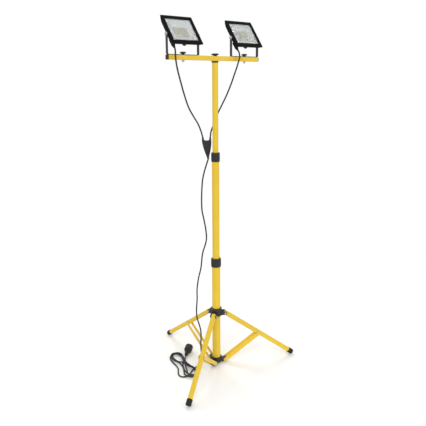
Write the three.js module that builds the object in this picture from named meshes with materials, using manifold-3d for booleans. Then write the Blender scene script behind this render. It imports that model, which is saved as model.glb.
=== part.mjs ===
// Twin-lamp work light on a telescopic tripod: mast, folding legs, crossbar, two tilting floodlights
// and their leads. Millimetres, +Z up. The origin is on the floor on the mast's axis. The lamps face
// -Y and the crossbar lies along X.
import * as THREE from "three";
import { mergeVertices } from "three/addons/utils/BufferGeometryUtils.js";
import Module from "manifold-3d";

const wasm = await Module();
wasm.setup();

// ---- driving dimensions ----
const GAP = 0.3; // clearance between neighbouring pieces
const WALL = 1.5; // wall of the steel tubes
const ROUND = 24; // sides of a mast tube

// mast: three telescoping tubes, [outer radius, bottom z, top z]
const LOWER = { r: 19, bottom: 4, top: 505 };
const MIDDLE = { r: 16, bottom: 335, top: 990 };
const UPPER = { r: 12.5, bottom: 640, top: 1383 };
const COLLAR_LOW = { r: 23, bottom: 487, top: 527 };
const COLLAR_HIGH = { r: 19, bottom: 969, top: 1009 };

// tripod
const LEG_AZIMUTHS = [93, -27, -147]; // degrees from +X
const LEG_ANGLE = THREE.MathUtils.degToRad(54); // leg from the vertical, legs spread
const PIVOT_R = 41; // leg and brace pivots, from the mast's axis
const HUB_SLEEVE_R = 25;
const BRACE_Z = 15; // height of the brace pivots
const BRACE_LENGTH = 205; // pivot to rivet, also leg pivot to rivet
const LEG_Z = BRACE_Z + 2 * BRACE_LENGTH * Math.cos(LEG_ANGLE); // height of the leg pivots
const LEG_R = 11;
const FOOT_R = 12.6;
// brace strips, and their distance from the leg's middle
const STRIP = { width: 18, thick: 2, inner: LEG_R + 0.7 };

// crossbar and lamps
const BAR_Z = 1400;
const BAR_SIZE = 19;
const BAR_HALF = 236;
const LAMP_X = 162.6; // lamp brackets, from the mast's axis
const BRACKET = { half: 76.3, thick: 2, width: 14 };
const TILT_Z = 1486; // height of the tilt axis
const LAMP_TILT = THREE.MathUtils.degToRad(37); // face leaning back from the vertical
const FACE = { width: 148, height: 135, front: -10, middle: 16.6 }; // bezel, about the tilt axis
const WINDOW = { width: 118, height: 101, middle: 17.8 };
// where the gland and the breather leave a housing
const OUTLET = { z: -25, glandX: -48, glandY: 21, glandR: 7.5, ventX: 10, ventY: 22.5, ventR: 9.2 };
const LEAD_R = 3.25;

// ---- materials ----
const material = (color, roughness, metalness) =>
  new THREE.MeshStandardMaterial({ color, roughness, metalness });
const YELLOW = () => material(0xf0bc28, 0.38, 0.1);
const BLACK = () => material(0x1b1b1d, 0.55, 0);
const DARK_METAL = () => material(0x33363a, 0.5, 0.4);
const STEEL = () => material(0xb8bcc0, 0.3, 0.9);
const GLASS = () => material(0xdfe6e8, 0.08, 0);
const WHITE = () => material(0xd9d8d0, 0.5, 0);
const RUBBER = () => material(0x222224, 0.7, 0);

// ---- solids ----
function toSolid(geometry) {
  const bare = geometry.clone();
  bare.deleteAttribute("normal");
  bare.deleteAttribute("uv");
  const merged = mergeVertices(bare, 1e-4);
  return new wasm.Manifold(
    new wasm.Mesh({
      numProp: 3,
      vertProperties: new Float32Array(merged.attributes.position.array),
      triVerts: new Uint32Array(merged.index.array),
    }),
  );
}

function toGeometry(solid) {
  const mesh = solid.getMesh();
  const geometry = new THREE.BufferGeometry();
  geometry.setAttribute("position", new THREE.BufferAttribute(mesh.vertProperties, 3));
  geometry.setIndex(new THREE.BufferAttribute(mesh.triVerts, 1));
  return geometry;
}

const join = (...geometries) => toGeometry(geometries.map(toSolid).reduce((a, b) => a.add(b)));
const cut = (body, ...tools) =>
  toGeometry(tools.map(toSolid).reduce((a, b) => a.subtract(b), toSolid(body)));
// The smallest convex solid round the given ones.
const tapered = (...geometries) => toGeometry(wasm.Manifold.hull(geometries.map(toSolid)));

const box = (x0, x1, y0, y1, z0, z1) =>
  new THREE.BoxGeometry(x1 - x0, y1 - y0, z1 - z0).translate((x0 + x1) / 2, (y0 + y1) / 2, (z0 + z1) / 2);

// A solid of revolution about Z. The profile's points are [radius, z], in either direction.
function turned(profile, sides) {
  const closed = profile.every(([r]) => r > 0);
  const points = closed ? [...profile, profile[0]] : profile;
  const area = points.reduce((sum, [r, z], i) => {
    const [r2, z2] = points[(i + 1) % points.length];
    return sum + r * z2 - r2 * z;
  }, 0);
  const ordered = area < 0 ? [...points].reverse() : points;
  const vectors = ordered.map(([r, z]) => new THREE.Vector2(r, z));
  return new THREE.LatheGeometry(vectors, sides).rotateX(Math.PI / 2);
}

const rod = (r, z0, z1, sides = ROUND) => turned([[0, z0], [r, z0], [r, z1], [0, z1]], sides);
const pipe = (r, inner, z0, z1, sides = ROUND) =>
  turned([[inner, z0], [r, z0], [r, z1], [inner, z1]], sides);
const alongX = (geometry) => geometry.rotateY(Math.PI / 2);
const alongY = (geometry) => geometry.rotateX(-Math.PI / 2);

// A rectangle with rounded corners in the XZ plane, pushed along Y from y0 to y1.
function slab(width, height, radius, y0, y1, middle = 0) {
  const outline = roundedRectangle(width, height, radius, middle);
  const settings = { depth: y1 - y0, bevelEnabled: false, curveSegments: 3 };
  const geometry = new THREE.ExtrudeGeometry(outline, settings);
  return geometry.rotateX(Math.PI / 2).translate(0, y1, 0);
}

function roundedRectangle(width, height, radius, middle) {
  const path = new THREE.Shape();
  const [x, low, high] = [width / 2, middle - height / 2, middle + height / 2];
  path.moveTo(-x + radius, low);
  path.lineTo(x - radius, low);
  path.absarc(x - radius, low + radius, radius, -Math.PI / 2, 0, false);
  path.lineTo(x, high - radius);
  path.absarc(x - radius, high - radius, radius, 0, Math.PI / 2, false);
  path.lineTo(-x + radius, high);
  path.absarc(-x + radius, high - radius, radius, Math.PI / 2, Math.PI, false);
  path.lineTo(-x, low + radius);
  path.absarc(-x + radius, low + radius, radius, Math.PI, Math.PI * 1.5, false);
  return path;
}

// A strip with round ends in the XZ plane from (x0, z0) to (x1, z1), between y0 and y1.
function link(x0, z0, x1, z1, width, y0, y1) {
  const length = Math.hypot(x1 - x0, z1 - z0);
  const r = width / 2;
  const outline = new THREE.Shape();
  outline.absarc(length, 0, r, -Math.PI / 2, Math.PI / 2, false);
  outline.absarc(0, 0, r, Math.PI / 2, Math.PI * 1.5, false);
  const settings = { depth: y1 - y0, bevelEnabled: false, curveSegments: 6 };
  const geometry = new THREE.ExtrudeGeometry(outline, settings);
  geometry.rotateX(Math.PI / 2).translate(0, y1, 0);
  return geometry.rotateY(-Math.atan2(z1 - z0, x1 - x0)).translate(x0, 0, z0);
}

// An outline of lobes or ribs round Z: the radius swings between outer and inner.
function lobed(count, outer, inner, z0, z1, stepsPerLobe) {
  const outline = new THREE.Shape();
  const total = count * stepsPerLobe;
  for (let i = 0; i < total; i += 1) {
    const angle = (2 * Math.PI * i) / total;
    const r = (outer + inner) / 2 + ((outer - inner) / 2) * Math.cos(count * angle);
    if (i === 0) outline.moveTo(r, 0);
    else outline.lineTo(r * Math.cos(angle), r * Math.sin(angle));
  }
  outline.closePath();
  return new THREE.ExtrudeGeometry(outline, { depth: z1 - z0, bevelEnabled: false }).translate(0, 0, z0);
}

// A round cord through the given points.
function cord(points, radius, sides, steps) {
  const vectors = points.map(([x, y, z]) => new THREE.Vector3(x, y, z));
  const path = new THREE.CatmullRomCurve3(vectors, false, "centripetal");
  const section = new THREE.Shape();
  for (let i = 0; i < sides; i += 1) {
    const angle = (2 * Math.PI * i) / sides;
    if (i === 0) section.moveTo(radius, 0);
    else section.lineTo(radius * Math.cos(angle), radius * Math.sin(angle));
  }
  section.closePath();
  return new THREE.ExtrudeGeometry(section, { steps, bevelEnabled: false, extrudePath: path });
}

// ---- scene ----
const worklight = new THREE.Group();

function add(parent, name, geometry, look) {
  const mesh = new THREE.Mesh(geometry, look);
  mesh.name = name;
  parent.add(mesh);
  return mesh;
}

function groupAt(parent, x, y, z) {
  const group = new THREE.Group();
  group.position.set(x, y, z);
  parent.add(group);
  return group;
}

// ---- mast ----
function buildMast() {
  const tubes = { mast_lower_tube: LOWER, mast_middle_tube: MIDDLE, mast_upper_tube: UPPER };
  for (const [name, tube] of Object.entries(tubes)) {
    add(worklight, name, pipe(tube.r, tube.r - WALL, tube.bottom, tube.top), YELLOW());
  }
  const plugFlange = rod(LOWER.r - 0.4, 0, LOWER.bottom - GAP);
  const plugBody = rod(LOWER.r - WALL - GAP, LOWER.bottom - 1, LOWER.bottom + 20);
  add(worklight, "mast_end_plug", join(plugFlange, plugBody), BLACK());

  const topFlange = rod(UPPER.r + 2, UPPER.top + GAP, UPPER.top + 5.2);
  const topBody = rod(UPPER.r - WALL - GAP, UPPER.top - 40, UPPER.top + 1);
  const boltBore = rod(4.3, UPPER.top - 30, UPPER.top + 10, 12);
  add(worklight, "mast_top_plug", cut(join(topFlange, topBody), boltBore), BLACK());

  addCollar("lock_collar_lower", COLLAR_LOW, LOWER, MIDDLE);
  addCollar("lock_collar_upper", COLLAR_HIGH, MIDDLE, UPPER);
}

// A ribbed twist-lock collar: it grips the outer tube below and lets the inner tube through above.
function addCollar(name, collar, outerTube, innerTube) {
  const rim = 6;
  const ribs = lobed(14, collar.r, collar.r - 0.9, collar.bottom + rim, collar.top - rim, 3);
  const barrel = turned(
    [
      [0, collar.bottom],
      [collar.r - 2, collar.bottom],
      [collar.r - 0.5, collar.bottom + 2],
      [collar.r - 0.5, collar.top - 2],
      [collar.r - 2, collar.top],
      [0, collar.top],
    ],
    ROUND,
  );
  const lowerBore = rod(outerTube.r + GAP, collar.bottom - 1, outerTube.top + GAP);
  const upperBore = rod(innerTube.r + GAP, outerTube.top, collar.top + 1);
  add(worklight, name, cut(join(barrel, ribs), lowerBore, upperBore), BLACK());
}

// ---- tripod ----
function buildTripod() {
  addHub("leg_hub", LEG_Z, LEG_Z - 10, LEG_Z + 28);
  addHub("foot_hub", BRACE_Z, BRACE_Z - 5, BRACE_Z + 19);
  LEG_AZIMUTHS.forEach((azimuth, i) => {
    const radial = groupAt(worklight, 0, 0, 0);
    radial.rotation.z = THREE.MathUtils.degToRad(azimuth);
    addLeg(radial, i + 1);
    addBrace(radial, i + 1);
  });
}

// The leg hub has a fork of two cheeks for each leg, the foot hub one solid lug for each brace.
function addHub(name, pivotZ, z0, z1) {
  const forked = name === "leg_hub";
  const half = forked ? 15 : LEG_R;
  const parts = [rod(HUB_SLEEVE_R, z0, z1)];
  for (const azimuth of LEG_AZIMUTHS) {
    let lug = join(
      link(PIVOT_R - 20, pivotZ, PIVOT_R, pivotZ, 18, -half, half),
      box(PIVOT_R - 21, PIVOT_R - 15, -half, half, z0 + 1, pivotZ + 12),
    );
    if (forked) {
      const slotHalf = LEG_R + 0.5;
      const slotStart = HUB_SLEEVE_R - 0.5;
      lug = cut(lug, box(slotStart, PIVOT_R + 20, -slotHalf, slotHalf, pivotZ - 20, pivotZ + 20));
    }
    const bore = alongY(rod(3 + GAP, -20, 20, 12)).translate(PIVOT_R, 0, pivotZ);
    parts.push(cut(lug, bore).rotateZ(THREE.MathUtils.degToRad(azimuth)));
  }
  add(worklight, name, cut(join(...parts), rod(LOWER.r + GAP, z0 - 5, z1 + 5)), BLACK());
}

// A leg lies in its own frame: local Z runs up the leg and the origin is at its pivot.
function addLeg(radial, number) {
  const leg = groupAt(radial, PIVOT_R, 0, LEG_Z);
  leg.rotation.y = -LEG_ANGLE;
  const footEnd = -(LEG_Z - FOOT_R * Math.sin(LEG_ANGLE)) / Math.cos(LEG_ANGLE) - 1;
  const tubeEnd = footEnd + 4;
  const pinBore = alongY(rod(3 + GAP, -15, 15, 12));
  const tube = cut(pipe(LEG_R, LEG_R - WALL, tubeEnd + GAP, 8, 20), pinBore);
  add(leg, `leg_${number}_tube`, tube, YELLOW());

  const cup = turned(
    [
      [0, footEnd],
      [FOOT_R - 1.5, footEnd],
      [FOOT_R, footEnd + 1.5],
      [FOOT_R, footEnd + 26],
      [LEG_R + GAP, footEnd + 26],
      [LEG_R + GAP, tubeEnd],
      [0, tubeEnd],
    ],
    20,
  );
  const reach = 420 * Math.sin(LEG_ANGLE);
  const floorUnderFoot = box(reach - 150, reach + 150, -50, 50, -LEG_Z - 100, -LEG_Z).rotateY(LEG_ANGLE);
  add(leg, `leg_${number}_foot`, cut(cup, floorUnderFoot), BLACK());

  const cheek = 15;
  const pin = join(
    rod(3, -cheek - 2, cheek + 2, 12),
    rod(5.5, -cheek - 2.5, -cheek - GAP, 12),
    rod(5.5, cheek + GAP, cheek + 2.5, 12),
  );
  add(radial, `leg_${number}_pin`, alongY(pin).translate(PIVOT_R, 0, LEG_Z), STEEL());
}

// Two flat strips straddle the leg. Their upper rivet heads sit on the strips, so the upper pivot
// stays open.
function addBrace(radial, number) {
  const endX = PIVOT_R + BRACE_LENGTH * Math.sin(LEG_ANGLE);
  const endZ = BRACE_Z + BRACE_LENGTH * Math.cos(LEG_ANGLE);
  const outer = STRIP.inner + STRIP.thick;
  for (const [side, sign] of [["a", 1], ["b", -1]]) {
    const [y0, y1] = sign > 0 ? [STRIP.inner, outer] : [-outer, -STRIP.inner];
    const strip = link(PIVOT_R, BRACE_Z, endX, endZ, STRIP.width, y0, y1);
    const bore = alongY(rod(3 + GAP, -20, 20, 12)).translate(PIVOT_R, 0, BRACE_Z);
    const head = alongY(sign > 0 ? rod(5, outer - 1, outer + 2, 12) : rod(5, -outer - 2, -outer + 1, 12));
    const placedHead = head.translate(endX, 0, endZ);
    add(radial, `brace_${number}_strip_${side}`, join(cut(strip, bore), placedHead), YELLOW());
  }
  const pin = join(
    rod(3, -outer - 2, outer + 2, 12),
    rod(5.5, -outer - 2.5, -outer - GAP, 12),
    rod(5.5, outer + GAP, outer + 2.5, 12),
  );
  add(radial, `brace_${number}_pin`, alongY(pin).translate(PIVOT_R, 0, BRACE_Z), STEEL());
}

// ---- crossbar ----
function buildCrossbar() {
  const half = BAR_SIZE / 2;
  const tube = box(-BAR_HALF, BAR_HALF, -half, half, -half, half);
  const hollow = box(-BAR_HALF - 1, BAR_HALF + 1, -half + WALL, half - WALL, -half + WALL, half - WALL);
  const saddle = box(-13, 13, -half - 2, half + 2, -half - 1.9, half - 1.5);
  const saddleRoom = box(-14, 14, -half + 0.5, half - 0.5, -half + 0.5, half + 5);
  const holes = [[0, 4.3], [-LAMP_X, 3.4], [LAMP_X, 3.4]];
  const bolts = holes.map(([x, r]) => rod(r, -20, 20, 12).translate(x, 0, 0));
  const bar = cut(join(cut(saddle, saddleRoom), cut(tube, hollow)), ...bolts);
  add(worklight, "crossbar", bar.translate(0, 0, BAR_Z), YELLOW());

  const inside = half - WALL - GAP;
  for (const [side, sign] of [["left", -1], ["right", 1]]) {
    const lip = box(BAR_HALF + GAP, BAR_HALF + 4, -half, half, -half, half);
    const insert = box(BAR_HALF - 14, BAR_HALF + 1, -inside, inside, -inside, inside);
    const cap = join(lip, insert);
    if (sign < 0) cap.rotateZ(Math.PI);
    add(worklight, `crossbar_cap_${side}`, cap.translate(0, 0, BAR_Z), BLACK());
  }

  const top = BAR_Z + half + GAP;
  add(worklight, "mast_knob", starKnob(16, top, 4, UPPER.top - 24), BLACK());
}

// A star knob with its threaded bolt: it stands on z0 and the bolt reaches down to boltEnd.
function starKnob(radius, z0, boltR, boltEnd) {
  const stem = turned([[0, z0], [radius * 0.55, z0], [radius * 0.42, z0 + 3.5], [0, z0 + 3.5]], 16);
  const head = lobed(6, radius, radius * 0.74, z0 + 2.5, z0 + 9, 4);
  const crown = turned(
    [[0, z0 + 8], [radius * 0.6, z0 + 8], [radius * 0.4, z0 + 10.5], [0, z0 + 10.5]],
    16,
  );
  return join(stem, head, crown, rod(boltR, boltEnd, z0 + 3, 12));
}

// ---- lamps ----
function buildLamps() {
  const plateZ = BAR_Z + BAR_SIZE / 2 + GAP;
  for (const [side, sign] of [["left", -1], ["right", 1]]) {
    const x = sign * LAMP_X;
    add(worklight, `bracket_${side}`, bracket(plateZ).translate(x, 0, 0), DARK_METAL());
    const boltEnd = BAR_Z - BAR_SIZE / 2 - 9;
    const knob = starKnob(13, plateZ + BRACKET.thick + GAP, 3, boltEnd);
    add(worklight, `bracket_knob_${side}`, knob.translate(x, 0, 0), BLACK());

    const lamp = groupAt(worklight, x, 0, TILT_Z);
    for (const [name, turn] of [["a", 0], ["b", Math.PI]]) {
      add(lamp, `lamp_${side}_bolt_${name}`, tiltBolt().rotateZ(turn), STEEL());
    }
    const tilted = groupAt(lamp, 0, 0, 0);
    tilted.rotation.x = -LAMP_TILT;
    addLamp(tilted, `lamp_${side}`);
  }
}

// A U of flat steel, open upwards, with round ends at the tilt axis.
function bracket(plateZ) {
  const { half, thick, width } = BRACKET;
  const y = width / 2;
  const base = box(-half, half, -y, y, plateZ, plateZ + thick);
  const arms = [];
  for (const x0 of [-half, half - thick]) {
    arms.push(box(x0, x0 + thick, -y, y, plateZ, TILT_Z));
    arms.push(alongX(rod(8, x0, x0 + thick, 16)).translate(0, 0, TILT_Z));
  }
  const knobHole = rod(3.4, plateZ - 2, plateZ + 5, 12);
  const tiltHoles = alongX(rod(3 + GAP, -half - 5, half + 5, 12)).translate(0, 0, TILT_Z);
  return cut(join(base, ...arms), knobHole, tiltHoles);
}

// Hexagon-headed bolt through a bracket arm into the housing's boss, on the +X side.
function tiltBolt() {
  const outside = BRACKET.half + GAP;
  return alongX(join(rod(3, BRACKET.half - 12, outside + 1, 12), rod(6.3, outside, outside + 4.5, 6)));
}

function addLamp(lamp, name) {
  const { width, height, front, middle } = FACE;
  const back = front + 6; // back of the bezel
  const glassFront = front + 1.5;

  const rim = tapered(
    slab(width - 2, height - 2, 2, front, front + 1, middle),
    slab(width, height, 3, front + 1, front + 4, middle),
    slab(width - 5, height - 5, 3, back - 1, back, middle),
  );
  const opening = slab(WINDOW.width, WINDOW.height, 4, front - 1, back + 1, WINDOW.middle);
  const pocket = slab(WINDOW.width + 5, WINDOW.height + 5, 4, glassFront, back + 1, WINDOW.middle);
  add(lamp, `${name}_bezel`, cut(rim, opening, pocket), BLACK());

  const glassBack = glassFront + 3.3;
  const [paneWidth, paneHeight] = [WINDOW.width + 4.4, WINDOW.height + 4.4];
  const glass = slab(paneWidth, paneHeight, 4, glassFront + GAP, glassBack, WINDOW.middle);
  add(lamp, `${name}_glass`, glass, GLASS());

  add(lamp, `${name}_housing`, housing(back + GAP), BLACK());
  add(lamp, `${name}_reflector`, reflector(glassBack + GAP), WHITE());

  // cable gland and breather plug under their bosses
  const gland = join(
    rod(7.4, -8, -GAP, 6),
    turned([[0, -22], [LEAD_R + 1.4, -22], [6.2, -7], [0, -7]], 16),
  );
  add(lamp, `${name}_gland`, gland.translate(OUTLET.glandX, OUTLET.glandY, OUTLET.z), BLACK());
  const vent = turned([[0, -7.5], [5.2, -7.2], [8.9, -2.8], [8.9, -GAP], [0, -GAP]], 16);
  add(lamp, `${name}_vent`, vent.translate(OUTLET.ventX, OUTLET.ventY, OUTLET.z), BLACK());
}

// A dish with four sloping walls and the LED board on its floor. It opens towards the glass.
function reflector(frontY) {
  const depth = 11;
  const { width, height, middle } = WINDOW;
  const outside = tapered(
    slab(width + 3, height + 3, 4, frontY, frontY + 1, middle),
    slab(76, 58, 4, frontY + depth - 1, frontY + depth, middle - 4),
  );
  const inside = tapered(
    slab(width, height, 4, frontY - 1, frontY, middle),
    slab(72, 54, 4, frontY + depth - 2, frontY + depth - 1.6, middle - 4),
  );
  const board = slab(44, 34, 1, frontY + depth - 3, frontY + depth - 1, middle - 6);
  return join(cut(outside, inside), board);
}

// Die-cast back: straight sides that slope in behind, a thinner top edge, cooling fins, bosses for
// the tilt bolts and two more for the gland and the breather.
function housing(frontY) {
  const wallY = frontY + 16.7;
  const walls = tapered(
    slab(143, 129, 3, frontY, frontY + 4, FACE.middle),
    slab(141, 108, 4, frontY + 9, frontY + 10, 7),
    slab(96, 84, 4, wallY - 1, wallY, FACE.middle),
  );
  const cavity = tapered(
    slab(130, 116, 4, frontY - 1, frontY + 4, FACE.middle),
    slab(84, 66, 4, wallY - 7, wallY - 5, WINDOW.middle - 4),
  );
  const chamber = box(-46, 46, wallY - 1, wallY + 4, OUTLET.z + 2, -4);
  const fins = [];
  const finPitch = 9;
  for (let x = -36; x <= 36; x += finPitch) {
    fins.push(box(x - 1, x + 1, wallY - 1, wallY + 5, 0, 54));
  }
  const outletBosses = [
    outletBoss(OUTLET.glandX, OUTLET.glandY, OUTLET.glandR),
    outletBoss(OUTLET.ventX, OUTLET.ventY, OUTLET.ventR),
  ];
  const bossEnd = BRACKET.half - BRACKET.thick - GAP;
  const bosses = alongX(rod(8, -bossEnd, bossEnd, 16));
  const boltBores = [alongX(rod(3 + GAP, 60, 80, 12)), alongX(rod(3 + GAP, -80, -60, 12))];
  const body = cut(join(walls, chamber, bosses, ...outletBosses, ...fins), cavity, ...boltBores);
  return cut(body, box(-200, 200, -60, frontY, -200, 200));
}

// A round boss hanging behind the housing, with a web back to its wall.
const outletBoss = (x, y, r) =>
  join(rod(r, OUTLET.z, -8, 16).translate(x, y, 0), box(x - r, x + r, 8, y, OUTLET.z, -8));

// ---- leads ----
// Each lamp's lead runs from its gland, in front of the crossbar, to the splitter beside the mast.
const LEFT_LEAD = [
  [-210.6, -12.6, 1436],
  [-211.6, -17.6, 1428.8],
  [-213.6, -21.5, 1420],
  [-215.6, -24.5, 1409.5],
  [-216, -25.8, 1395.9],
  [-213.1, -25.5, 1377.4],
  [-207.5, -24, 1355.1],
  [-197.7, -20.5, 1328.8],
  [-182.9, -14, 1296.3],
  [-166.7, -4, 1267.6],
  [-130, 14, 1206],
  [-90, 32, 1163],
  [-59, 44, 1131],
  [-36, 53, 1096],
  [-27, 56, 1075],
];
const RIGHT_LEAD = [
  [114.6, -12.6, 1436],
  [115.9, -17.6, 1428.5],
  [116.3, -21.5, 1418.5],
  [114.3, -24.5, 1407.3],
  [109.9, -25.8, 1394.9],
  [105.1, -25, 1380.6],
  [98.2, -22, 1358.1],
  [91.3, -16.5, 1333.5],
  [84.9, -11, 1308.7],
  [64, 0, 1252],
  [47, 14, 1207],
  [34, 25, 1173],
  [14, 33, 1120],
  [4, 35, 1096],
  [1, 36, 1077],
];
// The main lead hangs beside the mast and turns onto the floor between two legs.
const MAIN_LEAD = [
  [-8, 42, 975],
  [-18, 45, 946],
  [-28, 47, 916],
  [-36, 47, 886],
  [-44, 43, 842],
  [-49, 39, 789],
  [-50, 35, 749],
  [-46, 27, 709],
  [-41, 20, 660],
  [-41, 17, 622],
  [-46, 18, 599],
  [-58, 24, 556],
  [-66, 28, 486],
  [-76, 35, 433],
  [-81, 39, 384],
  [-81, 40, 335],
  [-84, 42, 275],
  [-82, 41, 240],
  [-74, 34, 202],
  [-69, 30, 168],
  [-69, 32, 107],
  [-67, 33, 76],
  [-66, 33, 48],
  [-67, 32, 26],
  [-73, 29, 11],
  [-84, 25, 5],
  [-100, 22, 4],
  [-115.3, 20, 4],
];
const SPLITTER = { x: -13, y: 45.5, yaw: -38.8, top: 1062, bottom: 978, lean: 6 };
const HANK = { x: -142, y: 76, length: 236, width: 70, height: 18, angle: 79.5 };
const PLUG = { tail: [-90, 127, 12.4], yaw: 38, pitch: 12.5 };
// The last of the main lead, from the plug back to the bundle.
const PLUG_LEAD = [
  [-90.3, 126.8, 12.3],
  [-92, 125.4, 11.9],
  [-93.9, 124, 11.3],
];

function buildLeads() {
  add(worklight, "lead_left", cord(LEFT_LEAD, LEAD_R, 8, 30), RUBBER());
  add(worklight, "lead_right", cord(RIGHT_LEAD, LEAD_R, 8, 28), RUBBER());
  add(worklight, "lead_main", cord(MAIN_LEAD, LEAD_R, 8, 70), RUBBER());

  const splitter = groupAt(worklight, SPLITTER.x, SPLITTER.y, 0);
  splitter.rotation.z = THREE.MathUtils.degToRad(SPLITTER.yaw);
  add(splitter, "lead_splitter", splitterBody(), BLACK());

  const { length, width } = HANK;
  const coiled = link(-(length - width) / 2, 0, (length - width) / 2, 0, width, -HANK.height, -GAP);
  coiled.rotateX(-Math.PI / 2).rotateZ(THREE.MathUtils.degToRad(HANK.angle)).translate(HANK.x, HANK.y, 0);
  add(worklight, "lead_hank", coiled, RUBBER());

  const plug = groupAt(worklight, ...PLUG.tail);
  plug.rotation.set(0, -THREE.MathUtils.degToRad(PLUG.pitch), THREE.MathUtils.degToRad(PLUG.yaw), "ZYX");
  addPlug(plug);
  add(worklight, "plug_lead", cord(PLUG_LEAD, LEAD_R, 8, 4), RUBBER());
}

// A flat moulded Y: a body with two short arms up to the lamp leads and a tail that leans towards
// the main lead.
function splitterBody() {
  const { top, bottom, lean } = SPLITTER;
  const halfWidths = [
    [4.6, bottom],
    [9.4, bottom + 21],
    [15.6, bottom + 44],
    [20.8, bottom + 70],
    [20.8, top + 11],
    [11.6, top + 11],
    [9, top - 4],
  ];
  const leaning = (x, z) => [x + lean * Math.max(0, (top - z) / (top - bottom)), z];
  const right = halfWidths.map(([x, z]) => leaning(x, z));
  const left = halfWidths.map(([x, z]) => leaning(-x, z)).reverse();
  const outline = new THREE.Shape([...right, ...left].map(([x, z]) => new THREE.Vector2(x, z)));
  const thickness = 15;
  const geometry = new THREE.ExtrudeGeometry(outline, { depth: thickness, bevelEnabled: false });
  return geometry.rotateX(Math.PI / 2).translate(0, thickness / 2, 0);
}

// The plug lies on its side along local X, pins at the far end.
function addPlug(plug) {
  const body = turned(
    [[0, 0], [6, 0], [9.5, 20], [10.5, 30], [15, 32.5], [19.5, 36], [19.5, 62], [18, 64], [0, 64]],
    24,
  );
  const pinRoom = [-9.5, 9.5].map((y) => rod(2.4 + GAP, 58, 70, 10).translate(0, y, 0));
  add(plug, "plug_body", alongX(cut(body, ...pinRoom)), BLACK());
  for (const [name, y] of [["a", -9.5], ["b", 9.5]]) {
    const pin = turned([[0, 58 + GAP], [2.4, 58 + GAP], [2.4, 81], [1.4, 83], [0, 83]], 10);
    add(plug, `plug_pin_${name}`, alongX(pin.translate(0, y, 0)), STEEL());
  }
}

buildMast();
buildTripod();
buildCrossbar();
buildLamps();
buildLeads();

export default worklight;
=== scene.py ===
"""Looks of a twin-lamp work light on a telescopic tripod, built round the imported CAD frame.

Shapes are written in millimetres in the part's own frame and scaled to metres when a mesh is made.
"""

import math

import bpy
from mathutils import Matrix, Vector


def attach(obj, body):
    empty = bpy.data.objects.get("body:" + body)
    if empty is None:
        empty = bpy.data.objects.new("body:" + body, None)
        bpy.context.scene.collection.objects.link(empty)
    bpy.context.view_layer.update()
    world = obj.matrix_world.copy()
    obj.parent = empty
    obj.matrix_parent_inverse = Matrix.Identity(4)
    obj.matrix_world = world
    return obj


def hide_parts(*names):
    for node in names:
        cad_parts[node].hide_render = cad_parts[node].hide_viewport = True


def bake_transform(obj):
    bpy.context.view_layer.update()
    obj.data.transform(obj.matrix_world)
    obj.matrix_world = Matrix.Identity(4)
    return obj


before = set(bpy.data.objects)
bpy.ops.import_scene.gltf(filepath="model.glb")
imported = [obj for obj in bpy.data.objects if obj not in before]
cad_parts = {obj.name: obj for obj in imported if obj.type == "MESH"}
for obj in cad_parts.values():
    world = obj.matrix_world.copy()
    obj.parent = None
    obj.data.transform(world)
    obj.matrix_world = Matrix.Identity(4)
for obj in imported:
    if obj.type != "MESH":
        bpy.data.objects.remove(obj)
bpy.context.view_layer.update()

MM = 0.001

# ---- dimensions shared with the CAD part, in millimetres ----
LOWER = {"r": 19.0, "bottom": 4.0, "top": 505.0}
MIDDLE = {"r": 16.0, "bottom": 335.0, "top": 990.0}
UPPER = {"r": 12.5, "bottom": 640.0, "top": 1383.0}
COLLAR_LOW = {"r": 23.0, "bottom": 487.0, "top": 527.0}
COLLAR_HIGH = {"r": 19.0, "bottom": 969.0, "top": 1009.0}
LEG_AZIMUTHS = (93.0, -27.0, -147.0)
LEG_ANGLE = math.radians(54)
PIVOT_R = 41.0
BRACE_Z = 15.0
BRACE_LENGTH = 205.0
LEG_Z = BRACE_Z + 2 * BRACE_LENGTH * math.cos(LEG_ANGLE)
LEG_R = 11.0
FOOT_R = 12.6
BAR_Z = 1400.0
BAR_SIZE = 19.0
BAR_HALF = 236.0
LAMP_X = 162.6
BRACKET_HALF = 76.3
BRACKET_THICK = 2.0
BRACKET_WIDTH = 14.0
TILT_Z = 1486.0
OUTLET_Z = -25.0
GLAND = {"x": -48.0, "y": 21.0, "boss": 8.0}
VENT = {"x": 10.0, "y": 22.5, "boss": 9.1}
LAMP_TILT = math.radians(37)
LEAD_R = 3.25


# ---- camera ----
def make_camera():
    """The photograph's view: in front, towards -X, a little below the crossbar and looking down."""
    yaw, pitch, roll = 0.678, 0.248, -0.0052
    distance, height = 2253.5, 1309.1
    data = bpy.data.cameras.new("camera")
    data.sensor_width = 36.0
    data.lens = 521.3 / 426 * data.sensor_width
    data.shift_x = -2.8 / 426
    camera = bpy.data.objects.new("camera", data)
    place = Vector((-distance * math.sin(yaw), -distance * math.cos(yaw), height)) * MM
    level = math.cos(pitch)
    ahead = Vector((math.sin(yaw) * level, math.cos(yaw) * level, -math.sin(pitch)))
    turn = ahead.to_track_quat("-Z", "Y").to_matrix().to_4x4() @ Matrix.Rotation(roll, 4, "Z")
    camera.matrix_world = Matrix.Translation(place) @ turn
    bpy.context.scene.collection.objects.link(camera)
    bpy.context.scene.camera = camera


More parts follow.
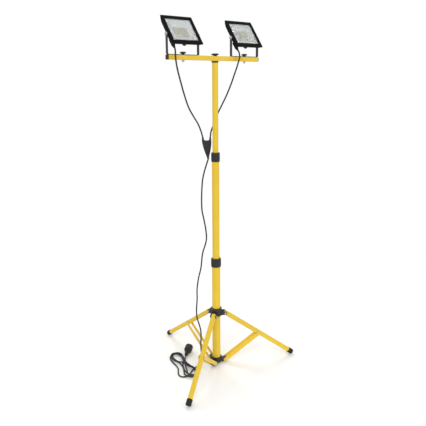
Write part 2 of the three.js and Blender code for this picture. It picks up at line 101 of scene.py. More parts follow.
# ---- mesh helpers ----
def lathe(profile, sides=48, shape=None):
    """A solid of revolution about Z. shape(angle, r, z) may change a point's radius."""
    verts, faces, rings = [], [], []
    for r, z in profile:
        if r < 1e-6:
            rings.append([len(verts)])
            verts.append((0.0, 0.0, z))
            continue
        ring = []
        for i in range(sides):
            angle = 2 * math.pi * i / sides
            radius = shape(angle, r, z) if shape else r
            ring.append(len(verts))
            verts.append((radius * math.cos(angle), radius * math.sin(angle), z))
        rings.append(ring)
    closed = profile[0][0] > 1e-6 and profile[-1][0] > 1e-6
    pairs = list(zip(rings, rings[1:])) + ([(rings[-1], rings[0])] if closed else [])
    for a, b in pairs:
        for i in range(sides):
            j = (i + 1) % sides
            if len(a) == 1 and len(b) == 1:
                break
            if len(a) == 1:
                faces.append((a[0], b[j], b[i]))
            elif len(b) == 1:
                faces.append((a[i], a[j], b[0]))
            else:
                faces.append((a[i], a[j], b[j], b[i]))
    return verts, faces


def rounded(profile, radius, steps=3):
    """The profile with its inner corners rounded, for a lathe that starts and ends on the axis."""
    out = [profile[0]]
    for before, here, after in zip(profile, profile[1:], profile[2:]):
        a, p, b = Vector(before), Vector(here), Vector(after)
        r = min(radius, (a - p).length * 0.45, (b - p).length * 0.45)
        start, end = p + (a - p).normalized() * r, p + (b - p).normalized() * r
        for i in range(steps + 1):
            t = i / steps
            out.append(tuple(start * (1 - t) ** 2 + p * (2 * t * (1 - t)) + end * t * t))
    out.append(profile[-1])
    return out


def prism(outline, low, high, axis="Z"):
    """An outline pushed from low to high along an axis, or from -low to -high along Y."""
    n = len(outline)
    if axis == "Z":
        verts = [(u, v, low) for u, v in outline] + [(u, v, high) for u, v in outline]
    elif axis == "Y":
        verts = [(u, -low, v) for u, v in outline] + [(u, -high, v) for u, v in outline]
    else:
        verts = [(low, u, v) for u, v in outline] + [(high, u, v) for u, v in outline]
    faces = [tuple(reversed(range(n))), tuple(range(n, 2 * n))]
    for i in range(n):
        j = (i + 1) % n
        faces.append((i, j, n + j, n + i))
    return verts, faces


def rectangle(width, height, radius, middle=(0.0, 0.0), steps=5):
    """A counterclockwise rectangle with round corners."""
    cx, cy = middle
    points = []
    for sx, sy, start in ((1, -1, -90), (1, 1, 0), (-1, 1, 90), (-1, -1, 180)):
        for i in range(steps + 1):
            a = math.radians(start + 90 * i / steps)
            x = cx + sx * (width / 2 - radius) + radius * math.cos(a)
            y = cy + sy * (height / 2 - radius) + radius * math.sin(a)
            points.append((x, y))
    return points


def link_outline(x0, z0, x1, z1, width, steps=10):
    """A strip with round ends between two points."""
    angle = math.atan2(z1 - z0, x1 - x0)
    points = []
    for cx, cz, start in ((x1, z1, -90), (x0, z0, 90)):
        for i in range(steps + 1):
            a = angle + math.radians(start + 180 * i / steps)
            points.append((cx + width / 2 * math.cos(a), cz + width / 2 * math.sin(a)))
    return points


def merge(*shapes):
    verts, faces = [], []
    for v, f in shapes:
        base = len(verts)
        verts += list(v)
        faces += [tuple(base + i for i in face) for face in f]
    return verts, faces


def moved(shape, matrix):
    verts, faces = shape
    flip = matrix.to_3x3().determinant() < 0
    out = [tuple(matrix @ Vector(v)) for v in verts]
    return out, [tuple(reversed(f)) for f in faces] if flip else faces


def shift(x, y, z):
    return Matrix.Translation(Vector((x, y, z)))


def turn(degrees, axis):
    return Matrix.Rotation(math.radians(degrees), 4, axis)


ALONG_X = turn(90, "Y")  # sends +Z to +X
ALONG_Y = turn(-90, "X")  # sends +Z to +Y


def piece(name, shape, body, look, replaces=(), at=None, bevel=0.0, steps=2, sharp=32):
    """One object from a shape in millimetres, riding on a body. A look is (material, slot)."""
    material, slot = look
    verts, faces = moved(shape, at) if at else shape
    mesh = bpy.data.meshes.new(name)
    mesh.from_pydata([Vector(v) * MM for v in verts], [], faces)
    mesh.validate()
    mesh.materials.append(material)
    mesh.polygons.foreach_set("use_smooth", [True] * len(mesh.polygons))
    mesh.set_sharp_from_angle(angle=math.radians(sharp))
    obj = bpy.data.objects.new(name, mesh)
    bpy.context.scene.collection.objects.link(obj)
    if bevel:
        edge = obj.modifiers.new("edge", "BEVEL")
        edge.width = bevel * MM
        edge.segments = steps
        edge.limit_method = "ANGLE"
        edge.angle_limit = math.radians(40)
        edge.harden_normals = True
        mesh.set_sharp_from_angle(angle=math.radians(180))
    if body:
        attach(obj, body)
    if replaces:
        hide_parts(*replaces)
    return obj


# ---- materials ----
class Nodes:
    """Short ways to add shader nodes to one material."""

    def __init__(self, name):
        self.material = bpy.data.materials.new(name)
        self.material.use_nodes = True
        self.tree = self.material.node_tree
        self.shader = self.tree.nodes["Principled BSDF"]
        self.coords = self.tree.nodes.new("ShaderNodeTexCoord")

    def link(self, a, b):
        self.tree.links.new(a, b)

    def noise(self, scale, detail=4.0, roughness=0.55, stretch=None, distortion=0.0):
        node = self.tree.nodes.new("ShaderNodeTexNoise")
        node.inputs["Scale"].default_value = scale
        node.inputs["Detail"].default_value = detail
        node.inputs["Roughness"].default_value = roughness
        node.inputs["Distortion"].default_value = distortion
        source = self.coords.outputs["Object"]
        if stretch:
            mapping = self.tree.nodes.new("ShaderNodeMapping")
            mapping.inputs["Scale"].default_value = stretch
            self.link(source, mapping.inputs["Vector"])
            source = mapping.outputs["Vector"]
        self.link(source, node.inputs["Vector"])
        return node.outputs["Fac"]

    def ramp(self, value, stops):
        node = self.tree.nodes.new("ShaderNodeValToRGB")
        ramp = node.color_ramp
        while len(ramp.elements) < len(stops):
            ramp.elements.new(0.5)
        for element, (position, colour) in zip(ramp.elements, stops):
            element.position = position
            element.color = (*colour, 1)
        self.link(value, node.inputs["Fac"])
        return node.outputs["Color"]

    def span(self, value, low, high, from_low=0.0, from_high=1.0):
        node = self.tree.nodes.new("ShaderNodeMapRange")
        node.inputs["From Min"].default_value = from_low
        node.inputs["From Max"].default_value = from_high
        node.inputs["To Min"].default_value = low
        node.inputs["To Max"].default_value = high
        self.link(value, node.inputs["Value"])
        return node.outputs["Result"]

    def mix(self, factor, a, b, mode="MIX"):
        node = self.tree.nodes.new("ShaderNodeMix")
        node.data_type = "RGBA"
        node.blend_type = mode
        for slot, value in (("Factor", factor), ("A", a), ("B", b)):
            socket = node.inputs[slot]
            if isinstance(value, bpy.types.NodeSocket):
                self.link(value, socket)
            elif isinstance(value, (int, float)):
                socket.default_value = value
            else:
                socket.default_value = (*value, 1)
        return node.outputs["Result"]

    def bump(self, height, strength, distance):
        node = self.tree.nodes.new("ShaderNodeBump")
        node.inputs["Strength"].default_value = strength
        node.inputs["Distance"].default_value = distance
        self.link(height, node.inputs["Height"])
        self.link(node.outputs["Normal"], self.shader.inputs["Normal"])

    def sheen(self, scale, detail, low, high):
        return self.span(self.noise(scale, detail), low, high, 0.3, 0.7)

    def wear(self, low=0.52, high=0.62):
        """How far a point stands out as an edge, broken up by noise."""
        geometry = self.tree.nodes.new("ShaderNodeNewGeometry")
        edge = self.span(geometry.outputs["Pointiness"], 0.0, 1.0, low, high)
        times = self.tree.nodes.new("ShaderNodeMath")
        times.operation = "MULTIPLY"
        self.link(edge, times.inputs[0])
        self.link(self.span(self.noise(90.0), 0.0, 1.0, 0.42, 0.62), times.inputs[1])
        return times.outputs["Value"]

    def set(self, **values):
        for name, value in values.items():
            socket = self.shader.inputs[name.replace("_", " ")]
            if isinstance(value, bpy.types.NodeSocket):
                self.link(value, socket)
            else:
                socket.default_value = value
        return self.material


def paint(name, base, shade, bright, rough=(0.30, 0.44), peel=900.0, specular=0.5):
    """Powder coat: slow drifts of tone, orange-peel bump, faint scuffs and paler worn edges."""
    n = Nodes(name)
    tone = n.ramp(n.noise(7.0, 3.0), [(0.30, shade), (0.62, base)])
    speck = n.ramp(n.noise(380.0, 2.0), [(0.35, (0.93,) * 3), (0.6, (1.0,) * 3)])
    colour = n.mix(1.0, tone, speck, "MULTIPLY")
    colour = n.mix(n.span(n.wear(), 0.0, 0.35), colour, bright)
    n.bump(n.noise(peel, 2.0), 0.16, 0.0004)
    return n.set(Base_Color=colour, Roughness=n.sheen(26.0, 5.0, *rough), Specular_IOR_Level=specular)


def plastic(name, base, pale, rough=(0.42, 0.6), grain=1400.0, strength=0.35, specular=0.4):
    """Moulded plastic: fine spark-eroded grain, uneven sheen and a trace of dust."""
    n = Nodes(name)
    tone = n.ramp(n.noise(24.0, 5.0), [(0.32, base), (0.72, pale)])
    dusty = tuple(min(1.0, c * 2.6 + 0.01) for c in pale)
    colour = n.mix(n.span(n.wear(0.5, 0.6), 0.0, 0.5), tone, dusty)
    n.bump(n.noise(grain, 3.0), strength, 0.0003)
    return n.set(Base_Color=colour, Roughness=n.sheen(40.0, 4.0, *rough), Specular_IOR_Level=specular)


def plated_steel(name):
    """Zinc-plated steel: fine brushed streaks and cloudy patches."""
    n = Nodes(name)
    colour = n.ramp(n.noise(60.0, 5.0), [(0.3, (0.46, 0.47, 0.48)), (0.7, (0.70, 0.71, 0.72))])
    n.bump(n.noise(300.0, 3.0, stretch=(1, 1, 9)), 0.25, 0.0003)
    roughness = n.span(n.noise(150.0, 4.0, stretch=(1, 1, 6)), 0.22, 0.42, 0.3, 0.7)
    return n.set(Base_Color=colour, Metallic=1.0, Roughness=roughness)


def clear_glass():
    """Tempered front glass with a faint film of dust."""
    n = Nodes("front_glass")
    roughness = n.span(n.noise(35.0, 5.0), 0.02, 0.09, 0.4, 0.75)
    n.bump(n.noise(14.0, 2.0), 0.03, 0.0004)
    n.set(Base_Color=(0.95, 0.97, 0.975, 1), Roughness=roughness)
    return n.set(Transmission_Weight=0.96, IOR=1.3, Alpha=0.55)


def lamp_inside(name, dark, pale, cloud, stipple, gloss, metallic=0.0):
    """Parts behind the glass: a slightly cloudy tone, a fine stipple and an uneven sheen."""
    n = Nodes(name)
    colour = n.ramp(n.noise(*cloud), [(0.3, dark), (0.7, pale)])
    scale, strength, depth = stipple
    n.bump(n.noise(scale, 2.0), strength, depth)
    return n.set(Base_Color=colour, Roughness=n.sheen(*gloss), Metallic=metallic)


# each look is a material and the slot of the part that it fills
YELLOW_PAINT = ((0.88, 0.61, 0.040), (0.83, 0.55, 0.030), (0.98, 0.80, 0.24))
YELLOW = (paint("yellow_powder_coat", *YELLOW_PAINT, specular=0.35), "yellow_paint")
BRACKET_PAINT = ((0.060, 0.063, 0.070), (0.045, 0.047, 0.053), (0.16, 0.165, 0.17))
BRACKET_GREY = (paint("grey_powder_coat", *BRACKET_PAINT, (0.40, 0.54), specular=0.3), "dark_metal")
CAST_PAINT = ((0.004, 0.004, 0.0045), (0.0025, 0.0025, 0.003), (0.024, 0.024, 0.024))
CAST_BLACK = (paint("black_powder_coat", *CAST_PAINT, (0.38, 0.54), 1300.0, 0.09), "black_cast")
BLACKS = ((0.014, 0.014, 0.015), (0.026, 0.026, 0.028))
BLACK_PLASTIC = (plastic("black_plastic", *BLACKS), "black_plastic")
GREYS = ((0.20, 0.20, 0.19), (0.28, 0.28, 0.27))
GREY_PLASTIC = (plastic("grey_plastic", *GREYS), "black_plastic")
RUBBER_TONES = ((0.015, 0.015, 0.016), (0.030, 0.030, 0.032))
RUBBER = (plastic("black_rubber", *RUBBER_TONES, (0.6, 0.8), 900.0, 0.5, 0.25), "rubber")
LEAD_TONES = ((0.016, 0.016, 0.018), (0.028, 0.028, 0.031))
LEAD_SHEATH = (plastic("lead_sheath", *LEAD_TONES, (0.42, 0.58), 1600.0, 0.2, 0.4), "rubber")
STEEL = (plated_steel("plated_steel"), "steel")
GLASS = (clear_glass(), "glass")
TONES = ((0.88, 0.90, 0.89), (0.95, 0.97, 0.96))
SHEEN = (120.0, 3.0, 0.38, 0.55)
REFLECTOR = (
    lamp_inside("reflector_plastic", *TONES, (30.0, 4.0), (900.0, 0.3, 0.0003), SHEEN, 0.15),
    "reflector",
)
TONES = ((0.66, 0.655, 0.575), (0.74, 0.735, 0.655))
SHEEN = (200.0, 3.0, 0.35, 0.5)
BOARD = (
    lamp_inside("board_lacquer", *TONES, (70.0, 4.0), (700.0, 0.15, 0.0002), SHEEN),
    "reflector",
)
TONES = ((0.60, 0.55, 0.36), (0.70, 0.65, 0.46))
SHEEN = (600.0, 2.0, 0.3, 0.5)
PHOSPHOR = (
    lamp_inside("led_phosphor", *TONES, (500.0, 3.0), (1500.0, 0.2, 0.0002), SHEEN),
    "reflector",
)


# ---- cords ----
def smooth_path(points, step=3.0):
    """A centripetal Catmull-Rom curve through the points, sampled about every step millimetres."""
    p = [Vector(q) for q in points]
    p = [p[0] * 2 - p[1], *p, p[-1] * 2 - p[-2]]
    out = []
    for a, b, c, d in zip(p, p[1:], p[2:], p[3:]):
        t1 = math.sqrt((b - a).length)
        t2 = t1 + math.sqrt((c - b).length)
        t3 = t2 + math.sqrt((d - c).length)
        count = max(2, round((c - b).length / step))
        for i in range(count):
            t = t1 + (t2 - t1) * i / count
            a1 = a * ((t1 - t) / t1) + b * (t / t1)
            a2 = b * ((t2 - t) / (t2 - t1)) + c * ((t - t1) / (t2 - t1))
            a3 = c * ((t3 - t) / (t3 - t2)) + d * ((t - t2) / (t3 - t2))
            b1 = a1 * ((t2 - t) / t2) + a2 * (t / t2)
            b2 = a2 * ((t3 - t) / (t3 - t1)) + a3 * ((t - t1) / (t3 - t1))
            out.append(b1 * ((t2 - t) / (t2 - t1)) + b2 * ((t - t1) / (t2 - t1)))
    out.append(p[-2])
    return out


def tube(path, radius, sides=14):
    """A closed tube along a dense path, with frames carried along it without twist."""
    after, before = [*path[1:], path[-1]], [path[0], *path[:-1]]
    tangents = [(b - a).normalized() for a, b in zip(before, after)]
    normal = tangents[0].orthogonal().normalized()
    verts, faces = [], []
    for i, (point, tangent) in enumerate(zip(path, tangents)):
        normal = (normal - tangent * normal.dot(tangent)).normalized()
        side = tangent.cross(normal)
        for k in range(sides):
            a = 2 * math.pi * k / sides
            verts.append(tuple(point + (normal * math.cos(a) + side * math.sin(a)) * radius))
        if i:
            for k in range(sides):
                j, low, high = (k + 1) % sides, (i - 1) * sides, i * sides
                faces.append((low + k, low + j, high + j, high + k))
    last = (len(path) - 1) * sides
    faces.append(tuple(reversed(range(sides))))
    faces.append(tuple(range(last, last + sides)))
    return verts, faces


def make_cord(name, path, body=None, bend=None, replaces=(), exit_at=None, ends=(), **rest):
    """A stretch of lead: it rides on a body, or spans the joint between two and is left unattached.
    """
    obj = piece(name, tube(path, LEAD_R), body, LEAD_SHEATH, sharp=60)
    if bend:
        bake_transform(obj)
    if replaces:
        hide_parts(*replaces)
    return obj


LEFT_LEAD = [
    (-210.6, -12.6, 1436), (-211.6, -17.6, 1428.8), (-213.6, -21.5, 1420), (-215.6, -24.5, 1409.5),
    (-216, -25.8, 1395.9), (-213.1, -25.5, 1377.4), (-207.5, -24, 1355.1), (-197.7, -20.5, 1328.8),
    (-182.9, -14, 1296.3), (-166.7, -4, 1267.6), (-130, 14, 1206), (-90, 32, 1163), (-59, 44, 1131),
    (-36, 53, 1096), (-27, 56, 1075),
]
RIGHT_LEAD = [
    (114.6, -12.6, 1436), (115.9, -17.6, 1428.5), (116.3, -21.5, 1418.5), (114.3, -24.5, 1407.3),
    (109.9, -25.8, 1394.9), (105.1, -25, 1380.6), (98.2, -22, 1358.1), (91.3, -16.5, 1333.5),
    (84.9, -11, 1308.7), (64, 0, 1252), (47, 14, 1207), (34, 25, 1173), (14, 33, 1120),
    (4, 35, 1096), (1, 36, 1077),
]
MAIN_LEAD = [
    (-8, 42, 975), (-18, 45, 946), (-28, 47, 916), (-36, 47, 886), (-44, 43, 842), (-49, 39, 789),
    (-50, 35, 749), (-46, 27, 709), (-41, 20, 660), (-41, 17, 622), (-46, 18, 599), (-58, 24, 556),
    (-66, 28, 486), (-76, 35, 433), (-81, 39, 384), (-81, 40, 335), (-84, 42, 275), (-82, 41, 240),
    (-74, 34, 202), (-69, 30, 168), (-69, 32, 107), (-67, 33, 76), (-66, 33, 60), (-66, 32.8, 40),
    (-68.7, 32, 26), (-76.5, 29.5, 14.2), (-88.2, 25.8, 6.5), (-102, 21.8, 3.6),
]
# the bundle as it lies on the floor: four turns and out to the plug, as (x, y)
BUNDLE = [
    (-119, 18), (-138, 9), (-156, -4), (-173, -14), (-191, -18), (-206, -12), (-212, 3), (-209, 21),
    (-196, 40), (-181, 60), (-173, 84), (-170, 113), (-165, 143), (-154, 170), (-134, 187),
    (-112, 187), (-97, 174), (-94, 153), (-103, 129), (-117, 103), (-126, 73), (-129, 41),
    (-128, 14), (-131, -9), (-141, -26), (-157, -36), (-175, -38), (-189, -29), (-193, -12),
    (-186, 7), (-173, 26), (-160, 48), (-150, 76), (-145, 108), (-145, 138), (-144, 163),
    (-132, 182), (-111, 184), (-97, 168), (-98, 146), (-110, 123), (-126, 99), (-143, 78),
    (-158, 56), (-169, 32), (-175, 7), (-176, -12), (-168, -32), (-150, -40), (-134, -29),
    (-128, -6), (-131, 24), (-134, 50), (-140, 75), (-149, 99), (-156, 124), (-157, 148),
    (-149, 171), (-131, 182), (-112, 172), (-107, 150), (-116, 124), (-129, 96), (-140, 70),
    (-150, 42), (-162, 16), (-176, -4), (-186, -24), (-180, -42), (-162, -50), (-144, -41),
    (-138, -18), (-136, 6), (-136, 30), (-132, 55), (-126, 78), (-117, 98), (-106, 112),
]
PLUG_TAIL = (-90.0, 127.0, 12.4)
PLUG_YAW, PLUG_PITCH = 38.0, 12.5
# heights where a lead is cut, so that each stretch lies between two bodies
LAMP_LEAD_CUTS = (1345, 1255)
MAIN_LEAD_CUTS = (900, 455)
FLOOR_END_Z = 30


def cut_at(path, height):
    """Splits a path at the first point below a height. Both halves keep that point."""
    for i, q in enumerate(path):
        if q.z < height:
            return path[: i + 1], path[i:]
    raise ValueError("the path never goes below that height")


def eased(path, passes):
    """The same path with its corners rounded off and its ends kept."""
    for _ in range(passes):
        inner = [(a + b * 2 + c) / 4 for a, b, c in zip(path, path[1:], path[2:])]
        path = [path[0], *inner, path[-1]]
    return path


def draped(points, radius):
    """The floor route with heights: a strand climbs in a low hump over any strand below it."""
    flat = eased(smooth_path([(x, y, 0.0) for x, y in points], step=4.0), 4)
    reach = 2 * radius + 0.4
    nearest, ramp = 10, 9  # in samples: the least distance to an older strand, and a hump's slope
    slope = [math.cos(math.pi / 2 * k / ramp) ** 2 for k in range(ramp)]
    need = [0.0] * len(flat)
    for i, here in enumerate(flat):
        for j in range(i - nearest):
            gap = (here - flat[j]).length
            if gap < reach:
                climb = math.sqrt(max(0.0, (reach + 0.2) ** 2 - gap * gap))
                need[i] = max(need[i], need[j] + climb)
        if need[i]:
            for back in range(1, min(ramp, i + 1)):
                need[i - back] = max(need[i - back], need[i] * slope[back])
    top = list(need)
    for i in range(len(flat)):
        for ahead in range(1, min(ramp, len(flat) - i)):
            top[i + ahead] = max(top[i + ahead], need[i] * slope[ahead])
    out = []
    for i, q in enumerate(flat):
        around = top[max(0, i - 2) : i + 3]
        out.append((q.x, q.y, radius + 0.3 + max(top[i], sum(around) / len(around))))
    return out


def make_leads():
    for side, points in (("left", LEFT_LEAD), ("right", RIGHT_LEAD)):
        lamp, bracket = f"lamp_{side}", f"bracket_{side}_body"
        path = smooth_path(points)
        path += [path[-1] + (path[-1] - path[-2]).normalized() * d for d in (2.5, 5.0)]
        near, rest = cut_at(path, LAMP_LEAD_CUTS[0])
        middle, far = cut_at(rest, LAMP_LEAD_CUTS[1])
        make_cord(
            f"lead_{side}_at_lamp",
            near,
            bend=(lamp, bracket, near[0] + (near[-1] - near[0]) * 0.08, near[-1]),
            replaces=[f"lead_{side}"],
            exit_at=points[0],
        )
        make_cord(f"lead_{side}_middle", middle, bend=(bracket, "head", middle[0], middle[-1]))
        make_cord(f"lead_{side}_lower", far, "head")

    hanging = smooth_path(MAIN_LEAD)
    upward = (hanging[0] - hanging[1]).normalized()
    hanging = [hanging[0] + upward * d for d in (6.0, 3.0)] + hanging
    bundle = draped([MAIN_LEAD[-1][:2], *BUNDLE], LEAD_R)
    tail = Vector(PLUG_TAIL)
    yaw = math.radians(PLUG_YAW)
    towards = Vector((math.cos(yaw), math.sin(yaw), 0.2)).normalized()
    lead_in = [tuple(tail - towards * d) for d in (9.0, 1.0)]
    on_floor = eased(smooth_path([*bundle[1::3], *lead_in, tuple(tail + towards * 12)]), 24)
    hanging = hanging[:-1] + [q for q in on_floor if (q - hanging[-1]).length > 2.0 or q.z > 8]
    top, rest = cut_at(hanging, MAIN_LEAD_CUTS[0])
    upper, lower = cut_at(rest, MAIN_LEAD_CUTS[1])
    bend = ("head", "mast_upper", top[0], top[-1])
    make_cord("lead_main_top", top, bend=bend, replaces=["lead_main"])
    bend = ("mast_upper", "mast_middle", upper[0], upper[-1])
    make_cord("lead_main_upper", upper, bend=bend)
    make_cord(
        "lead_main_lower",
        lower,
        bend=("mast_middle", "stand", lower[0], (lower[0].x, lower[0].y, FLOOR_END_Z)),
        replaces=["lead_hank", "plug_lead"],
        far_end="plug",
        lay="coiled",
        ends=("plug_grip",),
    )


make_camera()


# ---- mast ----
def make_mast():
    for name, t, body in (
        ("mast_lower_tube", LOWER, "stand"),
        ("mast_middle_tube", MIDDLE, "mast_middle"),
        ("mast_upper_tube", UPPER, "mast_upper"),
    ):
        r, z0, z1 = t["r"], t["bottom"], t["top"]
        inner = r - 1.5
        profile = [(inner, z0), (r - 0.4, z0), (r, z0 + 0.6)]
        profile += [(r, z0 + (z1 - z0) * i / 12) for i in range(1, 12)]
        profile += [(r, z1 - 0.6), (r - 0.4, z1), (inner, z1)]
        piece(f"{name}_skin", lathe(profile, 64), body, YELLOW, [name])

    foot = [(0, 0), (18.4, 0), (18.6, 3.6), (17.0, 3.7), (17.0, 23), (15, 24), (0, 24)]
    flange = lathe(rounded(foot, 0.8), 48)
    piece("mast_end_plug_skin", flange, "stand", BLACK_PLASTIC, ["mast_end_plug"])
    top = UPPER["top"]
    stem = [(0, top - 38), (10.4, top - 38), (10.6, top + 0.4)]
    ring = rounded([*stem, (14.2, top + 0.5), (14.4, top + 5.1), (0, top + 5.1)], 0.8)
    piece("mast_top_plug_skin", lathe(ring, 48), "mast_upper", BLACK_PLASTIC, ["mast_top_plug"])

    make_collar("lock_collar_lower", COLLAR_LOW, LOWER, MIDDLE, "collar_lower")
    make_collar("lock_collar_upper", COLLAR_HIGH, MIDDLE, UPPER, "collar_upper")


def make_collar(name, collar, outer_tube, inner_tube, body):
    """A twist lock: a barrel with soft vertical ribs between two plain rims."""
    r, z0, z1 = collar["r"], collar["bottom"], collar["top"]
    shoulder = outer_tube["top"] + 0.3
    low_bore, high_bore = outer_tube["r"] + 0.35, inner_tube["r"] + 0.35
    profile = [
        (low_bore, z0), (r - 2.2, z0), (r - 0.9, z0 + 0.5), (r - 0.35, z0 + 1.6),
        (r - 0.3, z0 + 4.6), (r - 0.9, z0 + 5.2), (r - 0.9, z0 + 5.9), (r - 0.3, z0 + 6.8),
    ]
    count = 14
    profile += [(r, z0 + 8 + (z1 - z0 - 16) * i / count) for i in range(count + 1)]
    profile += [
        (r - 0.3, z1 - 6.8), (r - 0.9, z1 - 5.9), (r - 0.9, z1 - 5.2), (r - 0.4, z1 - 4.6),
        (r - 0.5, z1 - 1.8), (r - 1.2, z1 - 0.5), (r - 2.4, z1), (high_bore, z1),
        (high_bore, shoulder), (low_bore, shoulder),
    ]

    def ribs(angle, radius, z):
        if radius < r - 0.6 or not z0 + 6 < z < z1 - 6:
            return radius
        wave = math.cos(18 * angle)
        return radius - 0.75 * (0.5 - 0.5 * max(-1.0, min(1.0, wave * 2.2)))

    piece(f"{name}_skin", lathe(profile, 180, ribs), body, BLACK_PLASTIC, [name], sharp=50)


# ---- tripod ----
def make_hub(name, pivot_z, z0, z1, body, forked):
    """A sleeve round the lower tube, with a fork or a lug for each leg."""
    band_r, lug_width = 25.4, 17.6
    cheek_in, cheek_out = 11.5, 14.8
    parts = [lathe(rounded([(19.4, z0), (24.8, z0), (24.8, z1), (19.4, z1)], 1.2), 64)]
    for z in (z0 + 3.5, z1 - 3.5):
        band = [(24.0, z - 1.6), (band_r - 0.4, z - 1.6), (band_r, z - 1.0)]
        band += [(band_r, z + 1.0), (band_r - 0.4, z + 1.6), (24.0, z + 1.6)]
        parts.append(lathe(band, 64))
    piece(f"{name}_sleeve", merge(*parts), body, BLACK_PLASTIC, [name])
    for i, azimuth in enumerate(LEG_AZIMUTHS, 1):
        at = turn(azimuth, "Z")
        if forked:
            cheeks = []
            for y0, y1 in ((cheek_in, cheek_out), (-cheek_out, -cheek_in)):
                outline = link_outline(PIVOT_R - 16, pivot_z + 1, PIVOT_R, pivot_z, lug_width)
                cheeks.append(prism(outline, -y1, -y0, "Y"))
            corners = [(20, -cheek_out), (25.2, -cheek_out), (25.2, cheek_out), (20, cheek_out)]
            web = prism(corners, z0 + 1, pivot_z + 11)
            fork = merge(*cheeks, web)
            piece(f"{name}_fork_{i}", fork, body, BLACK_PLASTIC, at=at, bevel=0.9)
        else:
            outline = link_outline(PIVOT_R - 18, pivot_z, PIVOT_R, pivot_z, lug_width)
            lug = prism(outline, -LEG_R, LEG_R, "Y")
            piece(f"{name}_lug_{i}", lug, body, BLACK_PLASTIC, at=at, bevel=1.2)


def rivet(half, shaft, head, dome):
    """A pin along Y with a domed head at each end: half is the outer face it rests on."""
    profile = [(0, -half - dome)]
    for i in range(1, 6):
        a = math.pi / 2 * i / 5
        profile.append((head * math.sin(a), -half - 0.6 - (dome - 0.6) * math.cos(a)))
    profile += [(head, -half - 0.1), (shaft, -half - 0.1), (shaft, half + 0.1), (head, half + 0.1)]
    for i in range(5, 0, -1):
        a = math.pi / 2 * i / 5
        profile.append((head * math.sin(a), half + 0.6 + (dome - 0.6) * math.cos(a)))
    profile.append((0, half + dome))
    return moved(lathe(profile, 28), ALONG_Y)


def make_tripod():
    make_hub("leg_hub", LEG_Z, LEG_Z - 10, LEG_Z + 28, "leg_slider", True)
    make_hub("foot_hub", BRACE_Z, BRACE_Z - 5, BRACE_Z + 19, "stand", False)
    foot_end = -(LEG_Z - FOOT_R * math.sin(LEG_ANGLE)) / math.cos(LEG_ANGLE) - 0.2
    tube_end = foot_end + 4
    end_x = PIVOT_R + BRACE_LENGTH * math.sin(LEG_ANGLE)
    end_z = BRACE_Z + BRACE_LENGTH * math.cos(LEG_ANGLE)
    for i, azimuth in enumerate(LEG_AZIMUTHS, 1):
        radial = turn(azimuth, "Z")
        along_leg = radial @ shift(PIVOT_R, 0, LEG_Z) @ Matrix.Rotation(-LEG_ANGLE, 4, "Y")
        profile = [(LEG_R - 1.5, tube_end + 0.3), (LEG_R - 0.3, tube_end + 0.3)]
        profile.append((LEG_R, tube_end + 1))
        profile += [(LEG_R, tube_end + (8 - tube_end) * k / 10) for k in range(1, 10)]
        profile += [(LEG_R, 7.4), (LEG_R - 0.4, 8), (LEG_R - 1.5, 8)]
        leg, brace = f"leg_{i}", f"brace_{i}"
        piece(f"{leg}_tube_skin", lathe(profile, 56), leg, YELLOW, [f"{leg}_tube"], at=along_leg)
        insert = [(0, -4), (LEG_R - 1.7, -4), (LEG_R - 1.7, 7.2), (LEG_R - 3, 8.2), (0, 8.2)]
        insert = lathe(rounded(insert, 0.8), 40)
        piece(f"{leg}_top_insert", insert, leg, BLACK_PLASTIC, at=along_leg)

        shoe = rounded(
            [
                (0, foot_end), (FOOT_R - 1.0, foot_end), (FOOT_R, foot_end + 3),
                (FOOT_R, foot_end + 7), (FOOT_R - 0.7, foot_end + 7.6),
                (FOOT_R - 0.7, foot_end + 9), (FOOT_R, foot_end + 9.6),
                (FOOT_R - 0.1, foot_end + 24), (FOOT_R - 0.6, foot_end + 26),
                (LEG_R + 0.3, foot_end + 26), (LEG_R + 0.3, tube_end), (0, tube_end),
            ],
            0.9,
        )
        piece(f"{leg}_foot_skin", lathe(shoe, 48), leg, RUBBER, [f"{leg}_foot"], at=along_leg)

        pin = rivet(15.1, 3.0, 5.3, 2.6)
        place = radial @ shift(PIVOT_R, 0, LEG_Z)
        piece(f"{leg}_pin_skin", pin, "leg_slider", STEEL, [f"{leg}_pin"], at=place)
        pin = rivet(13.8, 3.0, 5.3, 2.6)
        place = radial @ shift(PIVOT_R, 0, BRACE_Z)
        piece(f"{brace}_pin_skin", pin, brace, STEEL, [f"{brace}_pin"], at=place)
        for side, y0 in (("a", -13.7), ("b", 11.7)):
            strip = prism(link_outline(PIVOT_R, BRACE_Z, end_x, end_z, 18), y0, y0 + 2, "Y")
            name = f"{brace}_strip_{side}"
            piece(f"{name}_skin", strip, brace, YELLOW, [name], at=radial, bevel=0.5)
            outward = -1 if side == "b" else 1
            dome = [(5.0, 0), (4.9, 0.7), (4.2, 1.5), (2.8, 2.0), (0, 2.2)]
            head = moved(lathe([(0, -0.3), *dome], 28), ALONG_Y)
            place = shift(end_x, outward * 13.7, end_z) @ turn(0 if outward > 0 else 180, "X")
            piece(f"{name}_rivet", head, brace, STEEL, at=radial @ place)


